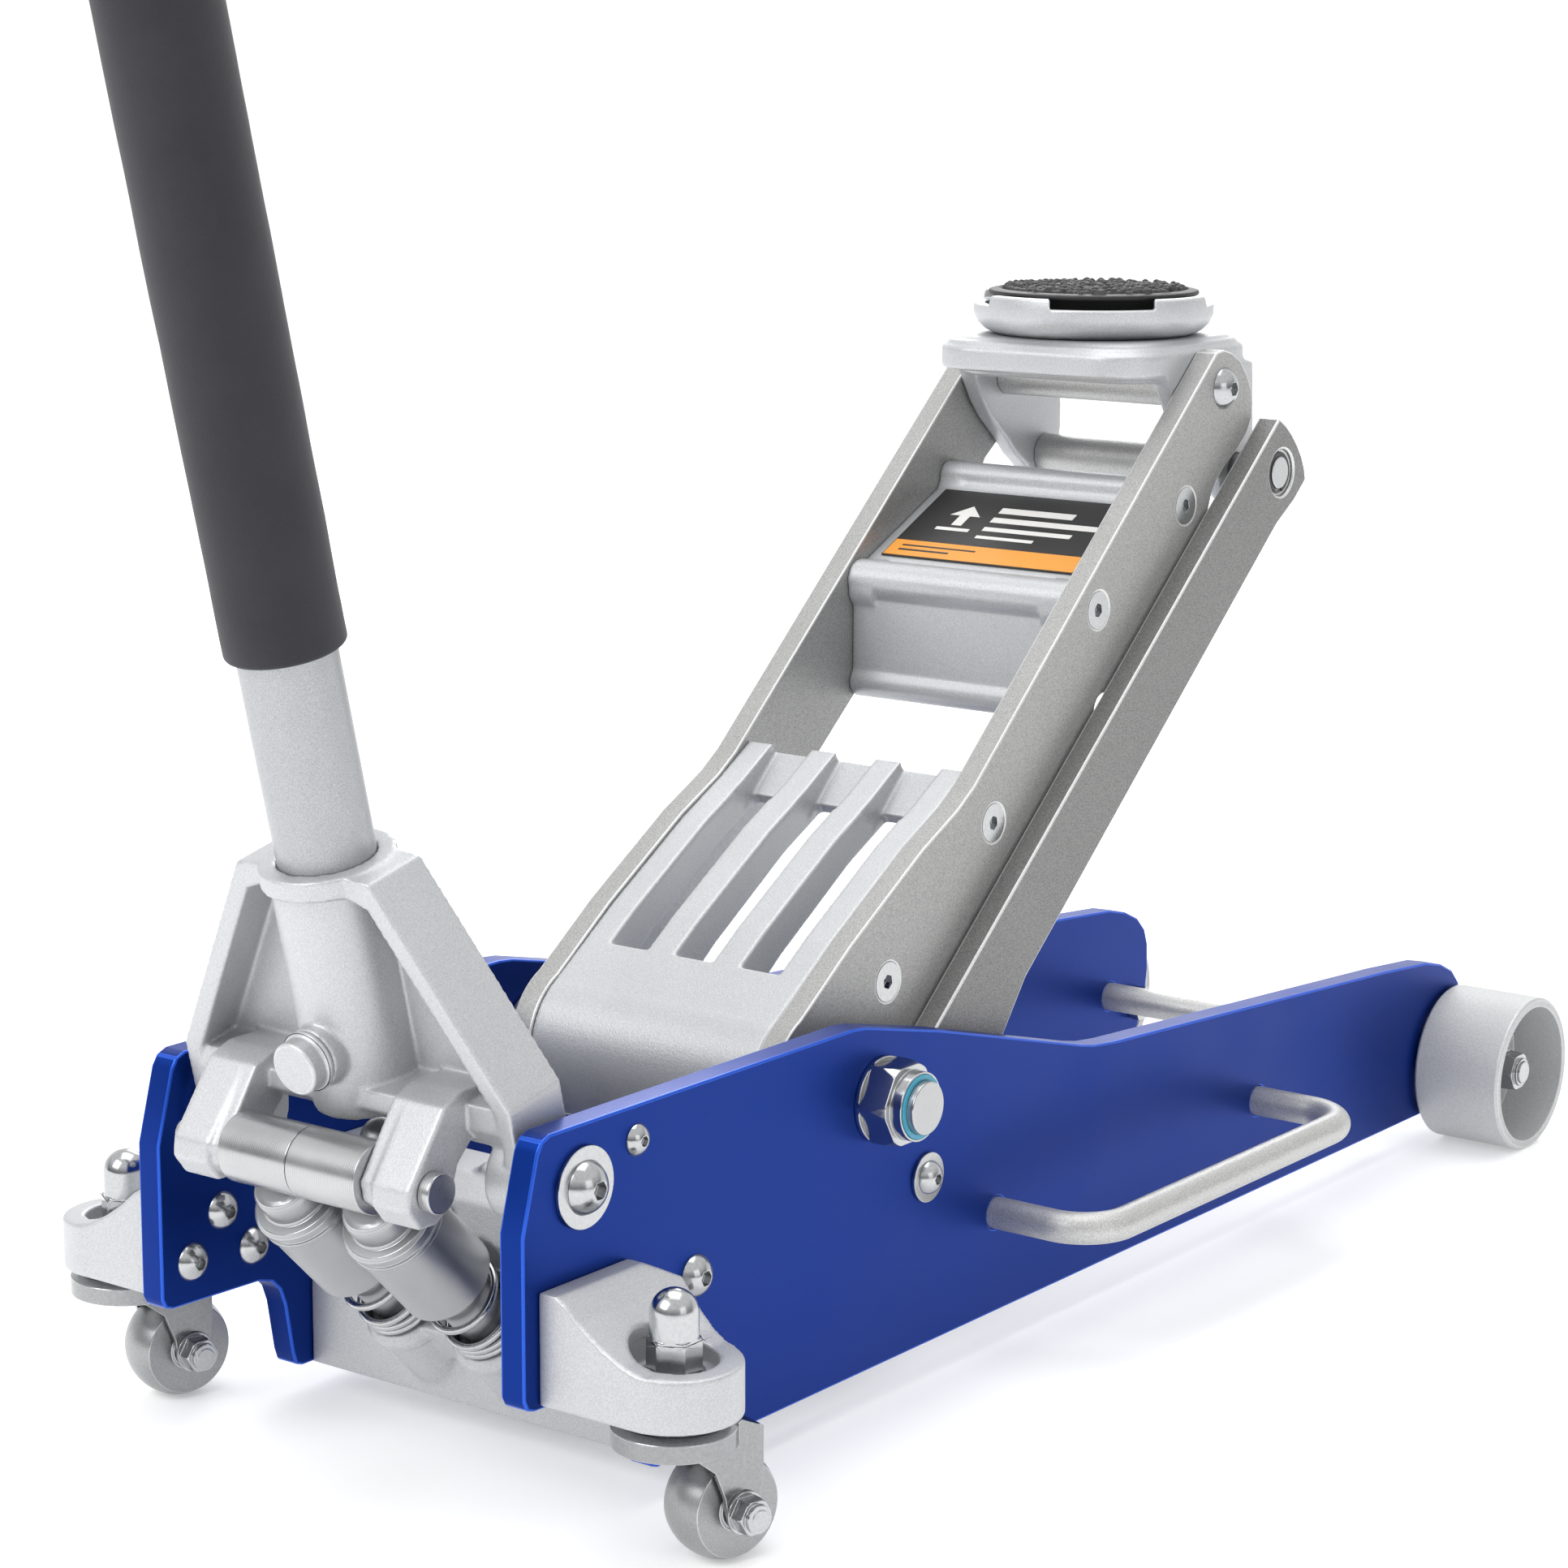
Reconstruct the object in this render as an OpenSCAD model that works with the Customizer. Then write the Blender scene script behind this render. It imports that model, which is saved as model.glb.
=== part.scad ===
// Low profile hydraulic floor jack with an aluminium chassis.
// +X points to the front wheels, +Y to the left side, +Z up. Millimetres.

/* [Chassis] */
// Outside width over the two side plates
chassis_w = 216; // [190:1:250]
// Thickness of a side plate
plate_t = 12.5; // [8:0.5:16]
// Height of the plates' bottom edge above the floor
ground_gap = 16.5; // [12:0.5:25]

/* [Lift arm] */
// Angle of the lift arm above the floor
lift_angle = 40.5; // [40:0.1:41]
// Distance from the arm pivot to the saddle pivot
arm_len = 440; // [430:1:450]
// Outside width over the two arm plates
arm_w = 152; // [148:1:154]
// Thickness of an arm plate
arm_t = 12; // [10:0.5:14]

/* [Saddle] */
// Largest radius of the saddle cup
cup_r = 60.7; // [55:0.1:64]
// Number of raised teeth round the cup
cup_teeth = 4; // [3:1:6]
// Radius of the rubber pad
pad_r = 53.3; // [45:0.1:54]

/* [Handle] */
// Backward lean of the handle from upright
handle_lean = 13.5; // [5:0.5:20]
// Diameter of the handle tube
tube_d = 41; // [38:0.5:42]
// Length of the handle above the yoke pivot
handle_len = 1170; // [900:10:1250]
// Diameter of the foam sleeve
foam_d = 50; // [46:1:56]
// Start of the foam sleeve above the yoke pivot
foam_start = 219; // [200:1:260]
// Length of the foam sleeve
foam_len = 430; // [300:10:450]

/* [Wheels] */
// Radius of the front wheels
wheel_r = 41.8; // [38:0.1:45]
// Width of the front wheels
wheel_w = 50; // [40:1:55]
// Radius of the caster wheels
caster_r = 23; // [20:0.5:25]
// Swivel angle of the casters
caster_turn = -15; // [-60:1:60]

/* [Hidden] */
$fn = 96;
fit = 0.05;
origin_x = 280.81;
origin_y = -2.3;

blue = [0.05, 0.12, 0.55];
cast = [0.74, 0.74, 0.73];
plain = [0.62, 0.62, 0.62];
zinc = [0.80, 0.81, 0.83];
black = [0.06, 0.06, 0.06];
foam_col = [0.15, 0.16, 0.20];
teal = [0.25, 0.62, 0.70];

half_w = chassis_w / 2;
inner_w = half_w - plate_t;
arm_o = arm_w / 2;
arm_i = arm_o - arm_t;

// main arm pivot and the offset that makes the levelling parallelogram
piv_x = 240;
piv_z = 140;
off_x = 36;
off_z = -44.5;
top_x = piv_x + arm_len * cos(lift_angle);
top_z = piv_z + arm_len * sin(lift_angle);
link_x = piv_x + off_x;
link_z = piv_z + off_z;
pin_x = top_x + off_x;
pin_z = top_z + off_z;
shaft_r = 12;
link_t = 12;
link_y = arm_o + 1.5;

// handle yoke pivot
yoke_x = 36.6;
yoke_z = 149.3;
roller_x = -42.2;
roller_z = 10.9;
roller_r = 15;
tube_r = tube_d / 2;

// ram and crosshead
ram_z = 80;
lug_r = 62;
lug_a = -65.5;
lug_x = piv_x + lug_r * cos(lug_a);
lug_z = piv_z + lug_r * sin(lug_a);

// pump plungers
pump_x = 1.3;
pump_z = 137.2;
pump_y = 25;
rod_r = 12.5;
cap_len = 64;
boss_top = 104;
stroke = 31;
spindle_angle = 141;

// front wheels and casters
axle_x = 778.5;
axle_z = wheel_r;
wheel_y = 109.6;
cast_x = 36.3;
cast_y = 154.8;
trail = 23;

// ---------- helpers ----------
// the same outline walked the other way round
function flip(p) = [for (i = [len(p) - 1:-1:0]) p[i]];

module place() {
  translate([-origin_x, -origin_y, 0]) children();
}

// cylinder along Y between two Y values
module bar_y(x, z, y0, y1, r) {
  translate([x, min(y0, y1), z]) rotate([-90, 0, 0]) cylinder(h = abs(y1 - y0), r = r);
}

// XZ outline extruded between two Y values
module slab(y0, y1) {
  translate([0, max(y0, y1), 0])
    rotate([90, 0, 0]) linear_extrude(height = abs(y1 - y0)) children();
}

// round button head with a socket, base at y, pointing to side s
module button_y(x, z, y, s, r, h, socket) {
  big = (r * r + h * h) / (2 * h);
  translate([x, y, z]) rotate([-90 * s, 0, 0]) difference() {
    intersection() {
      translate([0, 0, h - big]) sphere(r = big);
      cylinder(h = h, r = r);
    }
    translate([0, 0, h * 0.35]) cylinder(h = h, r = socket, $fn = 6);
  }
}

module hex_y(x, z, y, s, af, h) {
  translate([x, y, z]) rotate([-90 * s, 0, 0]) intersection() {
    cylinder(h = h, r = af / sqrt(3), $fn = 6);
    translate([0, 0, -0.01]) cylinder(h = h + 0.02, r1 = af * 0.62, r2 = af * 0.53);
  }
}

module arm_frame() {
  translate([piv_x, 0, piv_z]) rotate([0, -lift_angle, 0]) children();
}

// axes kept level but moving with the arm, origin on the arm pivot
module arm_level() {
  translate([piv_x, 0, piv_z]) children();
}

module link_frame() {
  translate([link_x, 0, link_z]) rotate([0, -lift_angle, 0]) children();
}

module yoke_frame() {
  translate([yoke_x, 0, yoke_z]) rotate([0, -handle_lean, 0]) children();
}

// +Z points up and back along a plunger, origin on its cap
module pump_frame(side) {
  translate([pump_x, side * pump_y, pump_z]) rotate([0, -45, 0]) children();
}

module caster_frame(side) {
  translate([cast_x, side * cast_y, 0]) rotate([0, 0, caster_turn]) children();
}

// ---------- chassis ----------
module plate_outline() {
  polygon([
    [0, 69], [0, 137], [9, 169], [12, 173.5], [17, 175.5], [220, 175.5], [229, 174.6],
    [238, 172.6], [287, 161.2], [300, 157.7], [404, 129.6], [416, 126.9], [432, 125],
    [704, 106], [750, 101.8], [768, 97.5], [781, 91.5], [789, 83.5], [792.5, 74],
    [793, 60], [790, 42], [783, 26], [774, 18.5], [765, ground_gap], [84, ground_gap],
    [80, 18], [78, 24], [74, 47], [71, 55], [66, 60], [58, 62.3], [6, 63.6], [2, 65]
  ]);
}

module side_plate(side) {
  color(blue) difference() {
    slab(side * inner_w, side * half_w) plate_outline();
    bar_y(yoke_x, yoke_z, side * (inner_w - 1), side * (half_w + 1), 8 + fit);
    bar_y(piv_x, piv_z, side * (inner_w - 1), side * (half_w + 1), shaft_r + fit);
    bar_y(752, 50.6, side * (inner_w - 1), side * (half_w + 1), 8 + fit);
    bar_y(axle_x, axle_z, side * (inner_w - 1), side * (half_w + 1), 6 + fit);
    bar_y(333, 64.5, side * (inner_w - 1), side * (half_w + 1), 7.6);
    bar_y(571, 64.5, side * (inner_w - 1), side * (half_w + 1), 7.6);
    bar_y(71, 160.7, side * (inner_w - 1), side * (half_w + 1), 3 + fit);
    bar_y(109, 93, side * (inner_w - 1), side * (half_w + 1), 5 + fit);
    for (p = bracket_holes) bar_y(p[0], p[1], side * (inner_w - 1), side * (half_w + 1), 5 + fit);
    if (side < 0) bar_y(link_x, link_z, -inner_w + 1, -half_w - 1, 8 + fit);
  }
}
bracket_holes = [[36.5, 100.4], [17.9, 81.9], [54.8, 79.8]];

module side_plate_right() { place() side_plate(-1); }
module side_plate_left() { place() side_plate(1); }

module pump_block() {
  color(cast) place() difference() {
    union() {
      slab(-inner_w, inner_w) polygon([
        [90, ground_gap], [90, 72], [70, 93], [66, 101], [80, 113.5], [100, 118],
        [128, 118], [128, ground_gap]
      ]);
      for (s = [-1, 1]) pump_frame(s) {
        translate([0, 0, -146]) cylinder(h = 146 - boss_top, r = 19);
        translate([0, 0, -boss_top - 8]) cylinder(h = 5, r = 21);
      }
      slab(-pump_y, pump_y) polygon([[94, 40], [94, 66], [80, 70], [67, 57], [86, 38]]);
      translate([110, 0, 117]) cylinder(h = 4, r = 9);
      translate([110, 55, 117]) cylinder(h = 3, r = 7, $fn = 6);
      translate([110, -55, 117]) cylinder(h = 3, r = 7, $fn = 6);
    }
    for (s = [-1, 1]) pump_frame(s) {
      translate([0, 0, -148]) cylinder(h = 60, r = rod_r + fit);
      translate([0, 0, -cap_len - stroke - 2]) cylinder(h = 60, r = 22.6);
      translate([0, 0, -boss_top]) cylinder(h = 20, r = 18.9);
    }
    translate([112, 0, ram_z]) rotate([0, 90, 0]) cylinder(h = 20, r = 25 + fit);
    translate([yoke_x, 0, yoke_z]) rotate([0, spindle_angle, 0])
      translate([0, 0, 30]) cylinder(h = 55, r = 6 + fit);
    bar_y(109, 93, inner_w - 22, inner_w + 1, 5 + fit);
    bar_y(109, 93, -inner_w + 22, -inner_w - 1, 5 + fit);
    translate([60, -200, 0]) cube([100, 400, ground_gap]);
  }
}

module cylinder_tube() {
  color(plain) place() translate([128, 0, ram_z]) rotate([0, 90, 0]) difference() {
    union() {
      cylinder(h = 58, r = 32);
      cylinder(h = 6, r = 36);
    }
    translate([0, 0, -1]) cylinder(h = 60, r = 25 + fit);
  }
}

module cylinder_gland() {
  color(zinc) place() translate([186, 0, ram_z]) rotate([0, 90, 0]) difference() {
    union() {
      cylinder(h = 6, r = 32);
      cylinder(h = 11, r = 29);
    }
    translate([0, 0, -1]) cylinder(h = 14, r = 15 + fit);
    for (a = [0, 90, 180, 270]) rotate([0, 0, a]) translate([25, -2, 8]) cube([6, 4, 4]);
  }
}

module front_tie_rod() {
  color(cast) place() bar_y(752, 50.6, -half_w, half_w, 8);
}

module wheel_axles() {
  color(zinc) place() for (s = [-1, 1]) {
    bar_y(axle_x, axle_z, s * (inner_w - 0.2), s * 155, 6);
    hex_y(axle_x, axle_z, s * (inner_w - 7.2), s, 18, 7);
    bar_y(axle_x, axle_z, s * (half_w + 0.05), s * (half_w + 1.4), 11);
  }
}

module wheel_nuts() {
  color(zinc) place() for (s = [-1, 1]) difference() {
    union() {
      hex_y(axle_x, axle_z, s * 143.8, s, 19, 8.5);
      bar_y(axle_x, axle_z, s * 142.2, s * 143.9, 11);
      bar_y(axle_x, axle_z, s * 152, s * 154, 7.6);
    }
    bar_y(axle_x, axle_z, s * 140, s * 160, 6);
  }
}

// bent rod: two legs out of the plate joined by a long bar
module carry_handle(side) {
  r = 7.5;
  bend = 24;
  out = 163;
  x0 = 333;
  x1 = 571;
  z = 64.5;
  color(cast) union() {
    bar_y(x0, z, side * (inner_w + 0.2), side * (out - bend), r);
    bar_y(x1, z, side * (inner_w + 0.2), side * (out - bend), r);
    translate([x0 + bend, side * out, z]) rotate([0, 90, 0])
      cylinder(h = x1 - x0 - 2 * bend, r = r);
    translate([x0 + bend, side * (out - bend), z]) rotate([0, 0, side > 0 ? 90 : 180])
      rotate_extrude(angle = 90) translate([bend, 0]) circle(r = r);
    translate([x1 - bend, side * (out - bend), z]) rotate([0, 0, side > 0 ? 0 : 270])
      rotate_extrude(angle = 90) translate([bend, 0]) circle(r = r);
  }
}
module carry_handle_right() { place() carry_handle(-1); }
module carry_handle_left() { place() carry_handle(1); }

// cast bracket that carries a swivel caster beside the plate
module caster_bracket(side) {
  y0 = half_w;
  foot = [[8.6, side * y0], [8.6, side * cast_y], [36, side * 168], [61.9, side * 165],
    [85, side * y0]];
  color(cast) difference() {
    intersection() {
      translate([0, 0, 64]) linear_extrude(height = 60) union() {
        polygon(side < 0 ? foot : flip(foot));
        translate([cast_x, side * cast_y]) circle(r = 28);
      }
      translate([-10, 0, 0]) rotate([90, 0, 90]) linear_extrude(height = 120) polygon([
        [side * y0, 65.5], [side * y0, 112.5], [side * 117, 112.5],
        [side * 122, 109.5], [side * 128, 104], [side * 140, 95.8],
        [side * 150, 91], [side * 160, 88.4], [side * 184, 87.5],
        [side * 184, 65.5]
      ]);
      slab(-200, 200) polygon([[0, 60], [0, 111], [12, 113.5], [62, 113.5], [79, 104],
        [90, 92], [90, 60]]);
    }
    translate([cast_x, side * cast_y, 81]) cylinder(h = 50, r = 18);
    translate([cast_x, side * cast_y, 60]) cylinder(h = 50, r = 6 + fit);
    for (p = bracket_holes) bar_y(p[0], p[1], side * (y0 - 1), side * (y0 + 14), 5 + fit);
  }
}
module caster_bracket_right() { place() caster_bracket(-1); }
module caster_bracket_left() { place() caster_bracket(1); }

module bracket_screws() {
  color(zinc) place() for (s = [-1, 1]) for (p = bracket_holes) {
    button_y(p[0], p[1], s * inner_w, -s, 8.6, 6, 3);
    bar_y(p[0], p[1], s * (inner_w - 0.5), s * (half_w + 12), 5);
  }
}

// stud, hexagon and dome in one forged piece
module caster_stud_nuts() {
  color(zinc) place() for (s = [-1, 1]) translate([cast_x, s * cast_y, 0]) {
    translate([0, 0, 51]) cylinder(h = 34, r = 6);
    translate([0, 0, 83.5]) intersection() {
      cylinder(h = 13.5, r = 11.5, $fn = 6);
      cylinder(h = 13.5, r1 = 13.5, r2 = 10.8);
    }
    translate([0, 0, 96]) cylinder(h = 11, r = 10);
    translate([0, 0, 107]) sphere(r = 10);
    translate([0, 0, 48.5]) cylinder(h = 3, r = 9);
  }
}

module washers() {
  color(zinc) place() {
    for (s = [-1, 1]) {
      translate([cast_x, s * cast_y, 81]) difference() {
        cylinder(h = 2.4, r = 12.5);
        translate([0, 0, -1]) cylinder(h = 5, r = 6 + fit);
      }
      difference() {
        bar_y(yoke_x, yoke_z, s * half_w, s * (half_w + 2), 17.2);
        bar_y(yoke_x, yoke_z, s * (half_w - 1), s * (half_w + 4), 8 + fit);
      }
    }
    difference() {
      bar_y(link_x, link_z, -half_w, -half_w - 1.8, 11.5);
      bar_y(link_x, link_z, -half_w + 1, -half_w - 3, 5);
    }
    difference() {
      bar_y(link_x, link_z, -inner_w + 0.2, -link_y - link_t - 0.2, 15);
      bar_y(link_x, link_z, -inner_w - 1, -link_y - link_t + 1, 8 + fit);
    }
  }
}

module arm_pivot_shaft() {
  color(plain) place() {
    bar_y(piv_x, piv_z, -134, 134, shaft_r);
    for (s = [-1, 1]) bar_y(piv_x, piv_z, s * (arm_o + 0.3), s * (inner_w - 0.3), 17);
  }
}

module arm_pivot_nuts() {
  color(zinc) place() for (s = [-1, 1]) difference() {
    union() {
      bar_y(piv_x, piv_z, s * half_w, s * (half_w + 2.4), 19.5);
      hex_y(piv_x, piv_z, s * (half_w + 2.2), s, 35, 14);
      bar_y(piv_x, piv_z, s * (half_w + 15), s * (half_w + 22), 15.6);
    }
    bar_y(piv_x, piv_z, s * (half_w - 1), s * (half_w + 30), shaft_r + fit);
    bar_y(piv_x, piv_z, s * (half_w + 17), s * (half_w + 30), 14.4);
  }
}

module nut_inserts() {
  color(teal) place() for (s = [-1, 1]) difference() {
    bar_y(piv_x, piv_z, s * (half_w + 17), s * (half_w + 22.6), 14.4);
    bar_y(piv_x, piv_z, s * (half_w + 16), s * (half_w + 30), shaft_r + fit);
  }
}

module frame_bolts() {
  color(zinc) place() for (s = [-1, 1]) {
    button_y(yoke_x, yoke_z, s * (half_w + 2), s, 11.5, 8, 4);
    bar_y(yoke_x, yoke_z, s * 72, s * (half_w + 2.5), 8);
    button_y(71, 160.7, s * half_w, s, 7, 4.5, 2.3);
    bar_y(71, 160.7, s * (inner_w - 4), s * (half_w + 0.5), 3);
    button_y(109, 93, s * half_w, s, 9.6, 6.5, 3.4);
    bar_y(109, 93, s * (inner_w - 20), s * (half_w + 0.5), 5);
  }
}

module link_frame_pin() {
  color(zinc) place() union() {
    button_y(link_x, link_z, -half_w - 1.8, -1, 8, 5.5, 2.6);
    bar_y(link_x, link_z, -half_w - 2, -half_w + 0.5, 5);
    bar_y(link_x, link_z, -half_w, -arm_o - 0.9, 8);
  }
}

// ---------- lift arm ----------
arm_screw_pos = [[62.8, -3.9], [165.4, -13], [290.5, -1.5], [377.9, -20]];

module arm_outline() {
  union() {
    circle(r = 37);
    polygon(flip([
      [0, 36.5], [56, 31.8], [119, 22.2], [150, 14.6], [166, 12.8], [300, 15.8],
      [446, 18.8], [452, 15], [457, 8], [460, 0], [460.4, -10], [459, -19], [455.5, -26],
      [450, -31], [442, -33.6], [430, -33.6], [419, -31.8], [408, -31], [399, -33.2],
      [391, -37.6], [384, -39.5], [60, -38.6], [0, -36.5]
    ]));
  }
}

module arm_plate(side) {
  color(plain) arm_frame() difference() {
    slab(side * arm_i, side * arm_o) arm_outline();
    bar_y(0, 0, side * (arm_i - 1), side * (arm_o + 1), shaft_r + fit);
    bar_y(arm_len, 0, side * (arm_i - 1), side * (arm_o + 1), 7 + fit);
    bar_y(263, -43, side * (arm_i - 1), side * (arm_o + 1), 8);
    for (p = arm_screw_pos) {
      bar_y(p[0], p[1], side * (arm_i - 1), side * (arm_o + 1), 5 + fit);
      translate([p[0], side * (arm_o - 5), p[1]]) rotate([-90 * side, 0, 0])
        cylinder(h = 5.01, r1 = 5 + fit, r2 = 9.4);
    }
  }
}
module arm_plate_right() { place() arm_plate(-1); }
module arm_plate_left() { place() arm_plate(1); }

module arm_screws() {
  color(zinc) place() arm_frame() for (s = [-1, 1]) for (p = arm_screw_pos) difference() {
    union() {
      bar_y(p[0], p[1], s * (arm_i - 13), s * (arm_o - 5), 5);
      translate([p[0], s * (arm_o - 5), p[1]]) rotate([-90 * s, 0, 0])
        cylinder(h = 4.9, r1 = 5, r2 = 9.3);
    }
    translate([p[0], s * (arm_o - 3.4), p[1]]) rotate([-90 * s, 0, 0])
      cylinder(h = 5, r = 3.4, $fn = 6);
  }
}

// lower casting: barrel round the pivot, three long slots, scooped crest
module arm_cover() {
  color(cast) place() arm_frame() difference() {
    union() {
      bar_y(0, 0, -arm_i, arm_i, 36);
      slab(-arm_i, arm_i) polygon([
        [0, 36], [56, 30.4], [118, 20.8], [150, 13.4], [177, 9], [173, -6], [150, -4],
        [118, 3.5], [56, 12], [20, 14], [0, 10]
      ]);
      for (s = [-1, 1]) slab(s * (arm_i - 12), s * arm_i) polygon([
        [0, 30], [56, 28], [118, 18], [150, 11], [176, 6], [178, -20], [165, -27],
        [60, -28], [0, -36]
      ]);
      for (s = [-1, 1]) slab(s * 22.5, s * 33) polygon([
        [-28, -18], [-29.6, -60], [-4.6, -60], [10, -30], [10, -10]
      ]);
      for (s = [-1, 1]) bar_y(-17.1, -59.6, s * 22.5, s * 33, 12.5);
    }
    bar_y(0, 0, -arm_i - 1, arm_i + 1, shaft_r + fit);
    bar_y(-17.1, -59.6, -40, 40, 8 + fit);
    for (y = [-38, 0, 38]) {
      translate([33, y - 11, -10]) cube([117, 22, 60]);
      translate([140, y - 11.5, 2]) rotate([0, -4, 0]) cube([60, 23, 30]);
    }
    for (s = [-1, 1]) for (k = [0, 1]) bar_y(arm_screw_pos[k][0], arm_screw_pos[k][1],
      s * (arm_i - 14), s * (arm_i + 1), 5 + fit);
    slab(-21, 21) polygon([[-40, -60], [-40, -28], [20, -28], [30, -60]]);
  }
}

// upper casting: label panel between two noses and a wall down to a third
module arm_web() {
  color(cast) place() difference() {
    union() {
      arm_level() {
        slab(-arm_i, arm_i) polygon([
          [294, 243], [305, 240], [303, 233], [293, 224], [230, 193], [225, 184],
          [225, 134], [216, 132], [213, 140], [213, 181], [212, 190], [226, 201],
          [286, 230]
        ]);
        bar_y(295.5, 236.5, -arm_i, arm_i, 7);
        bar_y(218.5, 191, -arm_i, arm_i, 10);
        bar_y(218.5, 139.5, -arm_i, arm_i, 8);
      }
      arm_frame() for (s = [-1, 1]) for (k = [2, 3])
        bar_y(arm_screw_pos[k][0], arm_screw_pos[k][1], s * (arm_i - 14), s * arm_i, 13);
    }
    arm_frame() for (s = [-1, 1]) for (k = [2, 3])
      bar_y(arm_screw_pos[k][0], arm_screw_pos[k][1], s * (arm_i - 15), s * (arm_i + 1),
        5 + fit);
  }
}

module arm_label() {
  color(black) place() arm_level() slab(-57, 57) polygon([
    [284.6, 229.33], [228.2, 202.07], [227.8, 202.9], [284.2, 230.16]
  ]);
}

module crosshead_pin() {
  color(zinc) place() difference() {
    bar_y(lug_x, lug_z, -52, 52, 8);
    for (s = [-1, 1]) bar_y(lug_x, lug_z, s * 44, s * 48, 20);
  }
  color(zinc) place() bar_y(lug_x, lug_z, -52, 52, 6);
}

module top_pivot_bolt() {
  color(zinc) place() union() {
    bar_y(top_x, top_z, -arm_o - 0.5, arm_o + 0.5, 7);
    for (s = [-1, 1]) button_y(top_x, top_z, s * arm_o, s, 10.6, 6.5, 3.6);
  }
}

// ---------- levelling link ----------
module level_link() {
  color(plain) place() link_frame() difference() {
    slab(-link_y, -link_y - link_t) union() {
      circle(r = 25);
      polygon(flip([
        [0, 24.6], [30, 23.2], [420, 23.2], [455.5, 23.2], [458, 16], [459.5, 8], [460, 0],
        [459.5, -8], [457.8, -15], [455, -20.5], [440, -20.5], [420, -17.5],
        [126, -17.5], [96, -24], [0, -24.6]
      ]));
    }
    bar_y(0, 0, -link_y + 1, -link_y - link_t - 1, 8 + fit);
    bar_y(arm_len, 0, -link_y + 1, -link_y - link_t - 1, 8 + fit);
    bar_y(arm_len, 0, -link_y - link_t + 3, -link_y - link_t - 1, 12);
  }
}

// ---------- saddle bracket ----------
sad_x = 571.4 - 574.6;
module bracket_frame() {
  translate([top_x, 0, top_z]) children();
}

module rounded_plan(hx, hy, r) {
  union() {
    square([2 * hx - 2 * r, 2 * hy], center = true);
    square([2 * hx, 2 * hy - 2 * r], center = true);
    for (i = [-1, 1]) for (j = [-1, 1]) translate([i * (hx - r), j * (hy - r)]) circle(r = r);
  }
}

module saddle_bracket() {
  hy = arm_i - 0.4;
  color(cast) place() bracket_frame() difference() {
    union() {
      translate([sad_x, 0, 7]) linear_extrude(height = 12) rounded_plan(62, hy, 28);
      translate([2.8, 0, 3]) linear_extrude(height = 4) rounded_plan(52, hy - 4, 26);
      translate([sad_x, 0, 19]) linear_extrude(height = 3) rounded_plan(59, hy - 3, 27);
      translate([sad_x, 0, 22]) linear_extrude(height = 2) rounded_plan(55, hy - 7, 25);
      for (s = [-1, 1]) slab(s * (hy - 10), s * hy) union() {
        polygon([[-38, 10], [-31, 1.5], [-22, -13], [-13.5, -22.5], [0, -34], [9, -43],
          [19, -50], [36, -40], [52, -33], [50.4, 0], [50, 10]]);
        translate([off_x, off_z]) circle(r = 17.5);
      }
    }
    bar_y(0, 0, -90, 90, 7 + fit);
    bar_y(off_x, off_z, -90, 90, 8 + fit);
    bar_y(0, 0, -hy + 10, hy - 10, 11);
    translate([sad_x, 0, -10]) cylinder(h = 50, r = 15 + fit);
  }
}

module pivot_spacer_tube() {
  hy = arm_i - 10.6;
  color(plain) place() bracket_frame() difference() {
    bar_y(0, 0, -hy, hy, 10.6);
    bar_y(0, 0, -hy - 1, hy + 1, 7 + fit);
    translate([sad_x, 0, 8]) cylinder(h = 40, r = 16);
  }
}

module lower_cross_tube() {
  hy = arm_i - 10.4;
  color(plain) place() bracket_frame() difference() {
    bar_y(off_x, off_z, -hy, hy, 10.5);
    bar_y(off_x, off_z, -hy - 1, hy + 1, 8 + fit);
  }
}

module link_pin() {
  color(zinc) place() bracket_frame() difference() {
    bar_y(off_x, off_z, -link_y - link_t + 0.8, arm_i - 0.5, 8);
    difference() {
      bar_y(off_x, off_z, -link_y - link_t + 2.7, -link_y - link_t + 1.5, 12);
      bar_y(off_x, off_z, -link_y - link_t + 3, -link_y - link_t + 1, 7);
    }
  }
}

module link_circlip() {
  color(zinc) place() bracket_frame() difference() {
    bar_y(off_x, off_z, -link_y - link_t + 2.6, -link_y - link_t + 1.6, 10.4);
    bar_y(off_x, off_z, -link_y - link_t + 3, -link_y - link_t + 1, 7.05);
    translate([off_x - 3, -link_y - link_t, off_z - 14]) cube([6, 4, 10]);
  }
}

// ---------- saddle ----------
module saddle_frame() {
  translate([top_x + sad_x, 0, top_z + 24.3]) children();
}

module saddle_cup() {
  color(cast) place() saddle_frame() difference() {
    rotate_extrude() polygon([
      [0, -15.5], [15, -15.5], [15, 0], [50, 0], [55, 2.2], [58.6, 5.6], [cup_r, 10.5],
      [cup_r, 15.5], [cup_r - 0.8, 20], [cup_r - 4.5, 20.5], [cup_r - 6, 19],
      [cup_r - 6, 9], [50, 6], [0, 6]
    ]);
    for (k = [0:cup_teeth - 1]) rotate([0, 0, 217.2 + k * 360 / cup_teeth])
      translate([-5, -cup_r * sin(25.3), 15.2])
        cube([cup_r + 10, 2 * cup_r * sin(25.3), 10]);
    translate([0, 0, -16]) cylinder(h = 12, r = 4);
  }
}

module saddle_pad() {
  color(black) place() saddle_frame() rotate_extrude() polygon([
    [0, 6], [46, 6], [47.5, 8], [48, 17], [pad_r, 19.5], [pad_r, 21.2], [49, 22.6],
    [46, 22.8], [44, 25], [0, 25]
  ]);
}

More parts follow.
